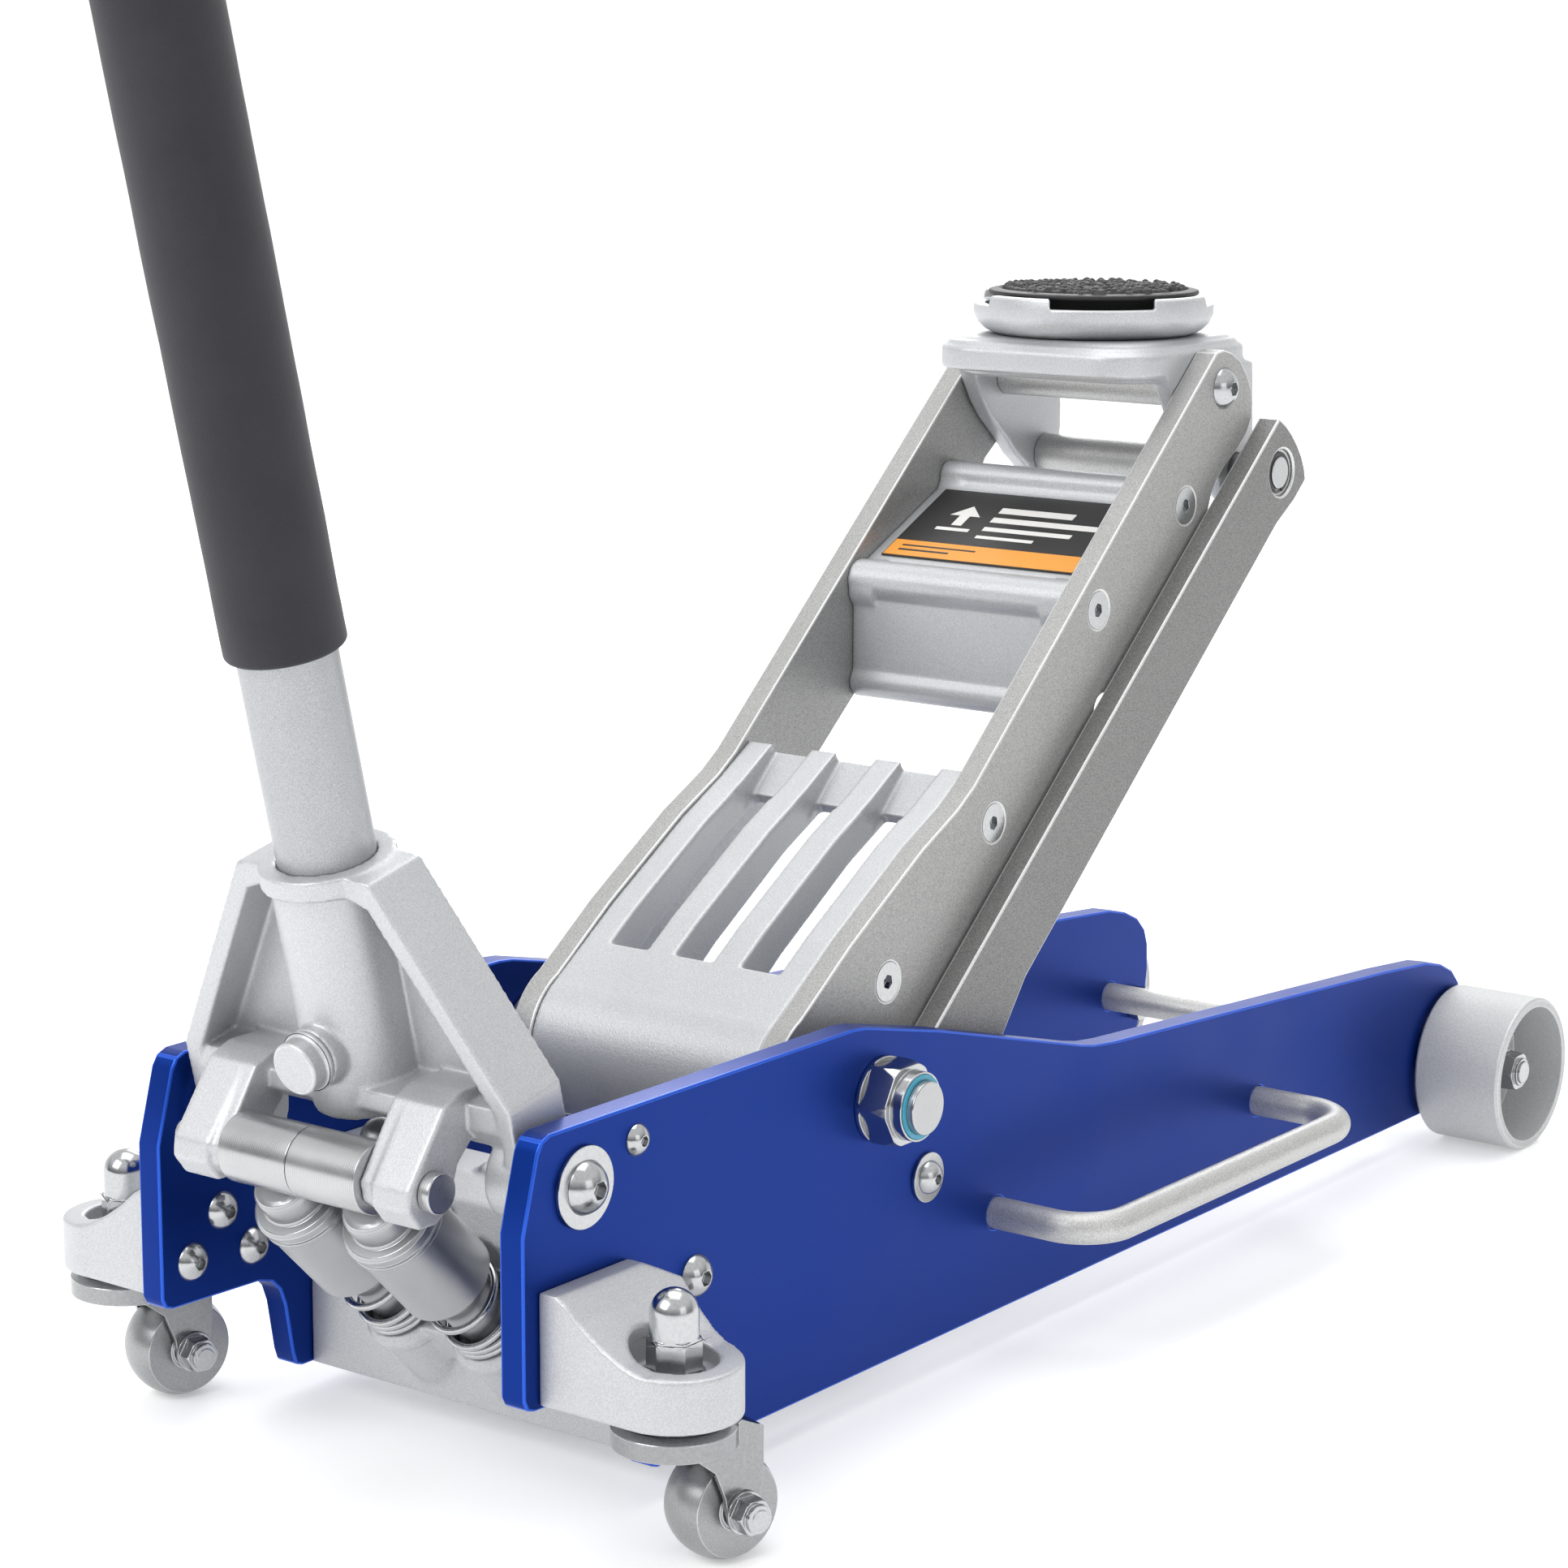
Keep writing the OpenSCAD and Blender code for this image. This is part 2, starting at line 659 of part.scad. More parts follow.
// ---------- ram ----------
module ram() {
  color(zinc) place() difference() {
    union() {
      translate([172, 0, ram_z]) rotate([0, 90, 0]) cylinder(h = 12, r = 25);
      translate([180, 0, ram_z]) rotate([0, 90, 0]) cylinder(h = lug_x - 190, r = 15);
      translate([lug_x - 14, -20, ram_z - 18]) cube([28, 40, 36]);
    }
    translate([lug_x - 8.5, -30, ram_z - 12]) cube([17, 60, 24]);
  }
}

// closed coil extension springs beside the cylinder
module return_springs() {
  turns = 32;
  pitch = 3.1;
  x0 = 138;
  len = turns * pitch;
  color(zinc) place() for (s = [-1, 1]) translate([x0, s * 46, ram_z + 2]) {
    rotate([0, 90, 0]) rotate_extrude() polygon(concat(
      [[5, 0]],
      [for (k = [0:turns - 1]) for (p = [[7, 0], [8, 0.8], [8, 2.3]])
        [p[0], p[1] + k * pitch]],
      [[7, len], [5, len]]
    ));
    translate([-9.6, 0, 0]) rotate([0, 90, 0]) cylinder(h = 12, r = 1.6);
    translate([1.6, 0, -6.4]) cylinder(h = 12.8, r = 1.4);
    translate([len - 1.6, 0, -6.4]) cylinder(h = 12.8, r = 1.4);
    translate([len - 2, 0, 0]) rotate([0, 90, 0])
      cylinder(h = lug_x - 6.1 - x0 - len + 2, r = 1.6);
  }
}

// ---------- handle yoke ----------
module handle_yoke() {
  color(cast) place() yoke_frame() difference() {
    union() {
      translate([0, 0, 22]) cylinder(h = 100, r = 25);
      translate([0, 0, 121]) cylinder(h = 9, r = 28.6);
      for (s = [-1, 1]) {
        translate([-16, 0, 0]) rotate([90, 0, 90]) linear_extrude(height = 32) polygon([
          [s * 20, 130], [s * 36.5, 128.5], [s * 91, 37], [s * 91, -18], [s * 83, -20],
          [s * 83, 33], [s * 33, 117], [s * 20, 121]
        ]);
        translate([4, 0, 0]) rotate([90, 0, 90]) linear_extrude(height = 8) polygon([
          [s * 20, 128], [s * 36, 120], [s * 84, 36], [s * 84, 22], [s * 20, 22]
        ]);
        bar_y(0, 0, s * 73, s * 91, 20);
        bar_y(0, 0, s * 90, s * (inner_w - 0.4), 17);
        slab(s * 38.2, s * 45.6) polygon([
          [14, 20], [14, 36], [-14, 42], [-26, 40], [-53, 15], [-53.4, 6.8], [-48.2, 0.5],
          [-42.2, -1.1], [-36.2, 0.5], [-32.4, 4], [-24, 14], [-14, 20]
        ]);
        slab(s * 45.6, s * 66) polygon([
          [14, 20], [14, 36], [-14, 42], [-26, 40], [-54, 16], [-56.5, 8], [-52, -2],
          [-42, -4.5], [-33, -1], [-24, 14], [-14, 20]
        ]);
        slab(s * 60, s * 84) polygon([[14, 18], [14, 36], [-14, 36], [-16, 26], [-10, 16]]);
      }
      slab(-45, 45) polygon([[13, 22], [13, 36], [-20, 36], [-22, 28], [-16, 22]]);
      translate([-20, 0, 52]) rotate([0, -90, 0]) cylinder(h = 10, r = 13);
    }
    translate([0, 0, 10]) cylinder(h = 130, r = tube_r + 0.1);
    for (s = [-1, 1]) bar_y(0, 0, s * 60, s * 100, 8 + fit);
    bar_y(roller_x, roller_z, -80, 80, 6 + fit);
    translate([-15, 0, 52]) rotate([0, -90, 0]) cylinder(h = 30, r = 6 + fit);
  }
}

module roller_pin() {
  color(zinc) place() yoke_frame() union() {
    bar_y(roller_x, roller_z, -72, 72, 6);
    bar_y(roller_x, roller_z, -72, -66.2, 8.5);
    bar_y(roller_x, roller_z, 66.2, 68.5, 8.5);
  }
}

module roller(y0, y1) {
  color(zinc) yoke_frame() difference() {
    bar_y(roller_x, roller_z, y0, y1, roller_r);
    bar_y(roller_x, roller_z, y0 - 1, y1 + 1, 6 + fit);
  }
}
module roller_right() { place() roller(-38, -0.15); }
module roller_left() { place() roller(0.15, 38); }

module lock_bolt() {
  color(cast) place() yoke_frame() translate([0, 0, 52]) rotate([0, -90, 0]) union() {
    translate([0, 0, tube_r - 1.3]) cylinder(h = 14, r = 6);
    translate([0, 0, 30.1]) cylinder(h = 3, r = 12.8);
    translate([0, 0, 33]) cylinder(h = 8, r = 11.5);
  }
}

module handle_tube_lower() {
  color(cast) place() yoke_frame() difference() {
    translate([0, 0, 26]) cylinder(h = 634, r = tube_r);
    translate([0, 0, 40]) cylinder(h = 630, r = tube_r - 3.5);
    translate([0, 0, 45]) difference() {
      cylinder(h = 14, r = tube_r + 1);
      translate([0, 0, -1]) cylinder(h = 16, r = tube_r - 1.8);
    }
  }
}

module foam_sleeve() {
  color(foam_col) place() yoke_frame() translate([0, 0, foam_start]) difference() {
    cylinder(h = foam_len, r = foam_d / 2);
    translate([0, 0, -1]) cylinder(h = foam_len + 2, r = tube_r);
  }
}

// upper half plugs into the lower half and is held by a spring button
module handle_tube_upper() {
  color(cast) place() yoke_frame() difference() {
    union() {
      translate([0, 0, 590]) cylinder(h = 71, r = tube_r - 3.5 - fit);
      translate([0, 0, 660.3]) cylinder(h = handle_len - 12 - 660.3, r = tube_r);
    }
    translate([0, 0, 580]) cylinder(h = handle_len - 600, r = tube_r - 6);
    translate([0, 0, 668]) cylinder(h = handle_len - 690, r = tube_r - 3);
  }
}

module end_grip() {
  color(black) place() yoke_frame() difference() {
    union() {
      translate([0, 0, handle_len - 140]) cylinder(h = 137, r = tube_r + 3);
      translate([0, 0, handle_len - 4]) cylinder(h = 4, r = tube_r + 1);
      translate([0, 0, handle_len - 144]) cylinder(h = 6, r = tube_r + 4.5);
    }
    translate([0, 0, handle_len - 150]) cylinder(h = 138, r = tube_r);
  }
}

// ---------- pump ----------
module pump_plunger(side) {
  color(zinc) pump_frame(side) rotate_extrude() polygon([
    [0, -0.6], [11, -0.8], [13.6, -1.8], [15, -3.8], [15.4, -6.4], [15.4, -12.4],
    [16.4, -13.4], [19.9, -13.6], [21.5, -15.2], [21.5, -18], [20.6, -18.5],
    [20.6, -19.5], [21.5, -20], [21.5, -22], [20.8, -22.8], [20.8, -cap_len],
    [18.8, -cap_len], [18.8, -26], [rod_r, -26], [rod_r, -116], [0, -116]
  ]);
}
module pump_plunger_right() { place() pump_plunger(-1); }
module pump_plunger_left() { place() pump_plunger(1); }

// ring for every turn, so the turns can close up on the rod
module plunger_spring(side) {
  turns = 12;
  wire = 1.7;
  color(zinc) pump_frame(side) for (k = [0:turns - 1])
    translate([0, 0, 0.1 + wire - boss_top + k * 6.2]) rotate_extrude() translate([16.5, 0])
      circle(r = wire, $fn = 24);
}
module plunger_spring_right() { place() plunger_spring(-1); }
module plunger_spring_left() { place() plunger_spring(1); }

// valve spindle with the ball of its joint under the handle tube
module release_spindle() {
  color(zinc) place() translate([yoke_x, 0, yoke_z]) rotate([0, spindle_angle, 0]) union() {
    sphere(r = 10);
    cylinder(h = 84, r = 6);
    translate([0, 0, 8]) cylinder(h = 14, r = 9);
  }
}

// ---------- front wheels ----------
module front_wheel(side) {
  color(cast) translate([axle_x, side * (wheel_y + wheel_w / 2), axle_z])
    rotate([-90 * side, 0, 0]) difference() {
      rotate_extrude() polygon([
        [6 + fit, -wheel_w / 2], [13, -wheel_w / 2], [13, -12], [wheel_r - 7, -12],
        [wheel_r - 6, -wheel_w / 2], [wheel_r - 1.2, -wheel_w / 2],
        [wheel_r, -wheel_w / 2 + 1.2], [wheel_r, wheel_w / 2 - 1.2],
        [wheel_r - 1.2, wheel_w / 2], [wheel_r - 5, wheel_w / 2], [wheel_r - 6.4, -4],
        [13, -4], [12, 7], [6 + fit, 7]
      ]);
      for (a = [0:72:359]) rotate([0, 0, a]) translate([24, 0, -20]) cylinder(h = 30, r = 7);
    }
}
module front_wheel_right() { place() front_wheel(-1); }
module front_wheel_left() { place() front_wheel(1); }

// ---------- casters ----------
module caster_fork(side) {
  color(zinc) caster_frame(side) difference() {
    union() {
      rotate_extrude() polygon([
        [5.6, 57], [16, 57], [18, 62.8], [22.5, 62.8], [25.6, 60.5], [25.6, 53],
        [23.4, 53], [23.4, 58.5], [21, 60], [19.6, 60], [17.5, 54.5], [5.6, 54.5]
      ]);
      rotate_extrude() polygon([[7, 63], [17, 63], [17, 65.2], [7, 65.2]]);
      translate([0, 0, 56.5]) difference() {
        cylinder(h = 7, r = 16);
        translate([0, 0, -1]) cylinder(h = 9, r = 7);
      }
      for (s = [-1, 1]) slab(s * 13, s * 15.4) polygon([
        [-16, 57], [-12, 52], [0, 49], [9, 42], [14, 30], [15, 23], [18, 16.5],
        [23, 14.5], [28, 16.5], [31, 23], [33, 40], [33, 57], [22, 62], [10, 57]
      ]);
      translate([29, -13.5, 47]) cube([2.4, 27, 10]);
      translate([18, -15.4, 56]) cube([13.4, 30.8, 2.4]);
    }
    bar_y(trail, caster_r, -20, 20, 4 + fit);
    translate([0, 0, 40]) cylinder(h = 30, r = 6 + fit);
  }
}
module caster_fork_right() { place() caster_fork(-1); }
module caster_fork_left() { place() caster_fork(1); }

function crown(a) = [caster_r - 24 + 24 * cos(a), 24 * sin(a)];

module caster_wheel(side) {
  color(plain) caster_frame(side) translate([trail, 0, caster_r]) rotate([90, 0, 0])
    rotate_extrude() polygon(concat(
      [[4 + fit, -12], [8, -12], [9, -11], [14, -11]],
      [for (a = [-28:4:28]) crown(a)],
      [[14, 11], [9, 11], [8, 12], [4 + fit, 12]]
    ));
}
module caster_wheel_right() { place() caster_wheel(-1); }
module caster_wheel_left() { place() caster_wheel(1); }

module caster_axle(side) {
  color(zinc) caster_frame(side) union() {
    bar_y(trail, caster_r, -26.5, 16, 4);
    hex_y(trail, caster_r, 15.45, 1, 13, 5.5);
    difference() {
      union() {
        bar_y(trail, caster_r, -15.45, -17, 9);
        hex_y(trail, caster_r, -16.8, -1, 14, 7);
        bar_y(trail, caster_r, -23.6, -26, 5.9);
      }
      bar_y(trail, caster_r, -15, -30, 3.9);
    }
  }
}
module caster_axle_right() { place() caster_axle(-1); }
module caster_axle_left() { place() caster_axle(1); }

side_plate_right();
side_plate_left();
pump_block();
cylinder_tube();
cylinder_gland();
front_tie_rod();
wheel_axles();
wheel_nuts();
carry_handle_right();
carry_handle_left();
caster_bracket_right();
caster_bracket_left();
bracket_screws();
caster_stud_nuts();
washers();
arm_pivot_shaft();
arm_pivot_nuts();
nut_inserts();
frame_bolts();
link_frame_pin();
arm_plate_right();
arm_plate_left();
arm_cover();
arm_web();
arm_screws();
arm_label();
crosshead_pin();
top_pivot_bolt();
level_link();
saddle_bracket();
pivot_spacer_tube();
lower_cross_tube();
link_pin();
link_circlip();
saddle_cup();
saddle_pad();
ram();
return_springs();
handle_yoke();
roller_pin();
lock_bolt();
roller_right();
roller_left();
handle_tube_lower();
foam_sleeve();
handle_tube_upper();
end_grip();
pump_plunger_right();
pump_plunger_left();
plunger_spring_right();
plunger_spring_left();
release_spindle();
front_wheel_right();
front_wheel_left();
caster_fork_right();
caster_fork_left();
caster_wheel_right();
caster_wheel_left();
caster_axle_right();
caster_axle_left();
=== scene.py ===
import math
import random

import bpy
from mathutils import Matrix, Vector, kdtree, noise


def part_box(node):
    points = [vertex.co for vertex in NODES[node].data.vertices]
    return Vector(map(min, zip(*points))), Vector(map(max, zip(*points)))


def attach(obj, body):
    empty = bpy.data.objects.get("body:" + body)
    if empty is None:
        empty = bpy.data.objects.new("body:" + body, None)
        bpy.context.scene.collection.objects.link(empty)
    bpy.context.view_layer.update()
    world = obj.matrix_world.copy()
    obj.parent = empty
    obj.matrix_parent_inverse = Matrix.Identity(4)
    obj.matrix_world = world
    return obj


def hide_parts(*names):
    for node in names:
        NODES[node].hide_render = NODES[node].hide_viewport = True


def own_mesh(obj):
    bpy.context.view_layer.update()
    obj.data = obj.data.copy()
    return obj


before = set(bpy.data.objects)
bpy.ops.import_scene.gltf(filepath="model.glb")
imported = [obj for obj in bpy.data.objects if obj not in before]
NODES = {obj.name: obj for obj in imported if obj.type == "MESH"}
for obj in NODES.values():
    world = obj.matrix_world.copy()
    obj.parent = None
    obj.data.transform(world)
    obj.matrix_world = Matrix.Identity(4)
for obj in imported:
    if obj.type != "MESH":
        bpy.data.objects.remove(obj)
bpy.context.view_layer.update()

OX, OY = 0.28081, -0.0023  # the frame's origin in part.scad's axes, in metres

FINE_GRAIN, SLOW_CLOUD = 0.0004, 14.0  # bump depth in metres, cloud noise scale


def at(x, y, z):
    """A point in the frame, from millimetres.

    x counts from the rear end of the side plates, y from the middle plane and z from the floor.
    """
    return Vector((x / 1000 - OX, y / 1000 - OY, z / 1000))


# ---------------------------------------------------------------- materials
def nt_new(name):
    m = bpy.data.materials.new(name)
    m.use_nodes = True
    nt = m.node_tree
    return m, nt, nt.nodes["Principled BSDF"]


def tex_coord(nt, scale=(1, 1, 1), rot=(0, 0, 0)):
    tc = nt.nodes.new("ShaderNodeTexCoord")
    mp = nt.nodes.new("ShaderNodeMapping")
    mp.inputs["Scale"].default_value = scale
    mp.inputs["Rotation"].default_value = rot
    nt.links.new(tc.outputs["Object"], mp.inputs["Vector"])
    return mp.outputs["Vector"]


def noise_node(nt, vec, scale, detail=2.0, rough=0.5):
    n = nt.nodes.new("ShaderNodeTexNoise")
    n.inputs["Scale"].default_value = scale
    n.inputs["Detail"].default_value = detail
    n.inputs["Roughness"].default_value = rough
    nt.links.new(vec, n.inputs["Vector"])
    return n.outputs["Fac"]


def ramp(nt, fac, stops):
    r = nt.nodes.new("ShaderNodeValToRGB")
    e = r.color_ramp.elements
    while len(e) < len(stops):
        e.new(0.5)
    for i, (p, c) in enumerate(stops):
        e[i].position = p
        e[i].color = (*c, 1) if len(c) == 3 else c
    nt.links.new(fac, r.inputs["Fac"])
    return r.outputs["Color"]


def mix(nt, a, b, fac, mode="MIX"):
    m = nt.nodes.new("ShaderNodeMix")
    m.data_type = "RGBA"
    m.blend_type = mode
    for sock, val in ((m.inputs[6], a), (m.inputs[7], b), (m.inputs[0], fac)):
        if hasattr(val, "is_linked") or hasattr(val, "links"):
            nt.links.new(val, sock)
        elif isinstance(val, (tuple, list)):
            sock.default_value = (*val, 1)
        else:
            sock.default_value = val
    return m.outputs[2]


def rmap(nt, fac, lo, hi, a, b):
    m = nt.nodes.new("ShaderNodeMapRange")
    m.inputs["From Min"].default_value = lo
    m.inputs["From Max"].default_value = hi
    m.inputs["To Min"].default_value = a
    m.inputs["To Max"].default_value = b
    nt.links.new(fac, m.inputs["Value"])
    return m.outputs["Result"]


def bump(nt, bsdf, height, strength, dist, prev=None):
    b = nt.nodes.new("ShaderNodeBump")
    b.inputs["Strength"].default_value = strength
    b.inputs["Distance"].default_value = dist
    nt.links.new(height, b.inputs["Height"])
    if prev is not None:
        nt.links.new(prev, b.inputs["Normal"])
    nt.links.new(b.outputs["Normal"], bsdf.inputs["Normal"])
    return b.outputs["Normal"]


def shade(c, k):
    return tuple(min(1.0, v * k) for v in c)


def finish_mat(name, base, metal, rough, grain, grain_amt, grain_bump, cloud=0.06,
               rough_var=0.06, coat=0.0, coarse=0.0, spec=None, scale=(1, 1, 1)):
    """A metal, paint or plastic with fine grain, slow colour clouds and matching roughness."""
    m, nt, b = nt_new(name)
    v = tex_coord(nt, scale)
    fine = noise_node(nt, v, grain, 2.0, 0.6)
    slow = noise_node(nt, v, SLOW_CLOUD, 3.0, 0.55)
    col = ramp(nt, fine, [(0.32, shade(base, 1 - grain_amt)), (0.68, shade(base, 1 + grain_amt))])
    tint = ramp(nt, slow, [(0.3, (1 - cloud,) * 3), (0.7, (1.0,) * 3)])
    nt.links.new(mix(nt, col, tint, 1.0, "MULTIPLY"), b.inputs["Base Color"])
    b.inputs["Metallic"].default_value = metal
    nt.links.new(rmap(nt, slow, 0.3, 0.7, rough - rough_var, rough + rough_var),
                 b.inputs["Roughness"])
    if coat:
        b.inputs["Coat Weight"].default_value = coat
        b.inputs["Coat Roughness"].default_value = 0.22
    if spec is not None:
        b.inputs["Specular IOR Level"].default_value = spec
    n = bump(nt, b, fine, grain_bump, FINE_GRAIN)
    if coarse:
        c = noise_node(nt, v, grain * 0.28, 3.0, 0.6)
        bump(nt, b, c, coarse, 2 * FINE_GRAIN, n)
    return m


BLUE = (0.002, 0.029, 0.235)
M = {}
M["blue"] = finish_mat("blue_anodised", BLUE, 0.70, 0.38, 2600, 0.10, 0.05, 0.10, 0.05, spec=0.15)
# painted highlight: a brighter, more saturated blue for the side plates' rounded edges, where they catch
# the light
M["blue_edge_highlight"] = finish_mat("blue_edge_highlight", (0.016, 0.095, 0.60), 0.62, 0.30, 1800, 0.12, 0.06, 0.06, 0.04)
M["cast"] = finish_mat("cast_silver", (0.53, 0.54, 0.555),
                       0.52, 0.42, 1500, 0.13, 0.30, 0.05, 0.05, coarse=0.12)
M["cast_edge"] = finish_mat("cast_silver_edge", (0.60, 0.61, 0.62),
                            0.50, 0.40, 1500, 0.10, 0.22, 0.04, 0.05)
M["blast"] = finish_mat("blasted_aluminium", (0.385, 0.385, 0.38),
                        0.6, 0.48, 1700, 0.28, 0.28, 0.06, 0.06)
M["blast_edge"] = finish_mat("blasted_edge", (0.70, 0.705, 0.70),
                             0.55, 0.34, 1500, 0.14, 0.12, 0.04, 0.05)
# painted shade: a darker copy of the blasted aluminium, for the level link's side that faces away from the
# lamps
M["blast_painted_shade"] = finish_mat("blasted_painted_shade", (0.24, 0.24, 0.237),
                             0.6, 0.50, 1500, 0.36, 0.30, 0.06, 0.06)
M["fork"] = finish_mat("pressed_steel", (0.33, 0.335, 0.34), 1.0, 0.22, 700, 0.08, 0.06, 0.14, 0.06)
M["zinc"] = finish_mat("bright_zinc", (0.50, 0.51, 0.52), 1.0, 0.19, 700, 0.06, 0.05, 0.12, 0.06)
# painted shade: near-black standing in for the shade in the link pin's socket, put on the circlip
M["circlip_painted_shade"] = finish_mat("socket_shadow", (0.07, 0.07, 0.075), 0.6, 0.45, 700, 0.10, 0.05)
M["tube"] = finish_mat("tube_silver", (0.40, 0.41, 0.425), 0.70, 0.38, 2200, 0.22, 0.16, 0.05, 0.05)
M["rod"] = finish_mat("handle_rod", (0.54, 0.54, 0.53), 0.70, 0.42, 1600, 0.24, 0.34, 0.06, 0.06)
M["wheel"] = finish_mat("wheel_grey", (0.52, 0.525, 0.53),
                        0.20, 0.52, 1300, 0.12, 0.32, 0.05, 0.05, coarse=0.14)
M["caster"] = finish_mat("caster_steel", (0.36, 0.365, 0.37), 0.85, 0.36, 1500, 0.12, 0.10, 0.10, 0.06)
M["rubber"] = finish_mat("black_rubber", (0.010, 0.010, 0.011), 0.0, 0.55, 1500, 0.30, 0.30, 0.10, 0.08)
M["teal"] = finish_mat("nylon_teal", (0.045, 0.33, 0.48), 0.0, 0.35, 1200, 0.08, 0.06, 0.06, 0.05)
M["label"] = finish_mat("label_black", (0.016, 0.015, 0.015),
                        0.0, 0.32, 1400, 0.10, 0.03, 0.05, 0.04, coat=0.3)
M["orange"] = finish_mat("label_orange", (0.84, 0.34, 0.04),
                         0.0, 0.34, 1400, 0.06, 0.03, 0.10, 0.04, coat=0.3)
M["white"] = finish_mat("label_white", (0.80, 0.79, 0.77),
                        0.0, 0.36, 1400, 0.04, 0.03, 0.04, 0.04, coat=0.3)


def foam_mat():
    m, nt, b = nt_new("closed_cell_foam")
    v = tex_coord(nt)
    cell = nt.nodes.new("ShaderNodeTexVoronoi")
    cell.inputs["Scale"].default_value = 1400
    nt.links.new(v, cell.inputs["Vector"])
    slow = noise_node(nt, v, 22, 3, 0.6)
    col = ramp(nt, slow, [(0.3, (0.011, 0.011, 0.016)), (0.7, (0.017, 0.017, 0.024))])
    nt.links.new(col, b.inputs["Base Color"])
    b.inputs["Roughness"].default_value = 0.82
    b.inputs["Sheen Weight"].default_value = 0.12
    b.inputs["Sheen Roughness"].default_value = 0.6
    n = bump(nt, b, cell.outputs["Distance"], 0.30, 0.0003)
    bump(nt, b, slow, 0.10, 0.0015, n)
    return m


M["foam"] = foam_mat()


def turned_mat(name, base, rough, axis_rot, pitch):
    """Turned metal: fine rings along the part's own axis."""
    m, nt, b = nt_new(name)
    tc = nt.nodes.new("ShaderNodeTexCoord")
    mp = nt.nodes.new("ShaderNodeMapping")
    mp.vector_type = "POINT"
    mp.inputs["Rotation"].default_value = axis_rot
    nt.links.new(tc.outputs["Object"], mp.inputs["Vector"])
    w = nt.nodes.new("ShaderNodeTexWave")
    w.wave_type = "BANDS"
    w.bands_direction = "Z"
    w.inputs["Scale"].default_value = pitch
    w.inputs["Distortion"].default_value = 0.6
    w.inputs["Detail"].default_value = 2.0
    nt.links.new(mp.outputs["Vector"], w.inputs["Vector"])
    slow = noise_node(nt, mp.outputs["Vector"], 30, 3, 0.6)
    col = ramp(nt, w.outputs["Fac"], [(0.0, shade(base, 0.92)), (1.0, shade(base, 1.05))])
    tint = ramp(nt, slow, [(0.3, (0.90,) * 3), (0.7, (1.0,) * 3)])
    nt.links.new(mix(nt, col, tint, 1.0, "MULTIPLY"), b.inputs["Base Color"])
    b.inputs["Metallic"].default_value = 0.9
    nt.links.new(rmap(nt, slow, 0.3, 0.7, rough - 0.05, rough + 0.07), b.inputs["Roughness"])
    bump(nt, b, w.outputs["Fac"], 0.05, 0.0002)
    return m


M["turned_y"] = turned_mat("turned_steel_y", (0.50, 0.505, 0.51), 0.27, (math.radians(90), 0, 0), 260)
M["turned_45"] = turned_mat("turned_steel_45", (0.43, 0.44, 0.45), 0.34, (0, math.radians(45), 0), 240)
M["turned_x"] = turned_mat("turned_steel_x", (0.48, 0.48, 0.48), 0.24, (0, math.radians(90), 0), 240)


# ---------------------------------------------------------------- CAD nodes
def dress(node, main, edge=None, width=0.4, segs=2, angle=32, planar=True):
    """Keeps a CAD node and gives it rounded edges and a finish."""
    o = NODES[node]
    me = o.data
    for name in ("custom_normal", "sharp_edge", "sharp_face"):
        a = me.attributes.get(name)
        if a is not None:
            me.attributes.remove(a)
    me.polygons.foreach_set("use_smooth", [True] * len(me.polygons))
    me.materials.clear()
    me.materials.append(M[main])
    me.materials.append(M[edge or main])
    me.polygons.foreach_set("material_index", [0] * len(me.polygons))
    w = o.modifiers.new("weld", "WELD")
    w.merge_threshold = 0.000004
    if planar:
        d = o.modifiers.new("planar", "DECIMATE")
        d.decimate_type = "DISSOLVE"
        d.angle_limit = math.radians(0.6)
    if width:
        b = o.modifiers.new("edges", "BEVEL")
        b.width = width / 1000
        b.segments = segs
        b.limit_method = "ANGLE"
        b.angle_limit = math.radians(angle)
        b.use_clamp_overlap = False
        b.miter_outer = "MITER_ARC"
        b.material = 1
        b.harden_normals = False
    n = o.modifiers.new("normals", "WEIGHTED_NORMAL")
    n.mode = "FACE_AREA"
    n.weight = 60
    n.keep_sharp = False
    return o


def cast_skin(node, main, voxel=1.0, passes=5):
    """Keeps a cast CAD node and rounds its edges and inside corners as a sand casting has them."""
    o = dress(node, main, None, 0, 1, planar=False)
    o.modifiers.remove(o.modifiers["normals"])
    r = o.modifiers.new("skin", "REMESH")
    r.mode = "VOXEL"
    r.voxel_size = voxel / 1000
    r.adaptivity = 0.0
    r.use_smooth_shade = True
    s = o.modifiers.new("soften", "SMOOTH")
    s.factor = 0.5
    s.iterations = passes
    return o


for side in ("right", "left"):
    # the side plates' bevelled edges take the painted-highlight blue
    dress("side_plate_" + side, "blue", "blue_edge_highlight", 1.1, 3)
    dress("carry_handle_" + side, "rod", None, 0.4, 2)
    cast_skin("caster_bracket_" + side, "cast", 0.9, 7)
    dress("arm_plate_" + side, "blast", "blast_edge", 0.9, 2)
    dress("roller_" + side, "turned_y", "zinc", 0.5, 2)
    dress("pump_plunger_" + side, "turned_45", "zinc", 0.25, 2)
    dress("front_wheel_" + side, "wheel", "cast_edge", 0.6, 2)
    dress("caster_fork_" + side, "fork", "zinc", 0.3, 2)
    dress("caster_wheel_" + side, "caster", "zinc", 0.3, 2)
    dress("caster_axle_" + side, "zinc", None, 0.3, 2)
cast_skin("pump_block", "cast", 1.2, 4)
dress("cylinder_tube", "turned_x", "zinc", 0.6, 2)
dress("cylinder_gland", "turned_x", "zinc", 0.5, 2)
dress("front_tie_rod", "rod", "blast_edge", 0.8, 2)
dress("wheel_axles", "zinc", None, 0.4, 2)
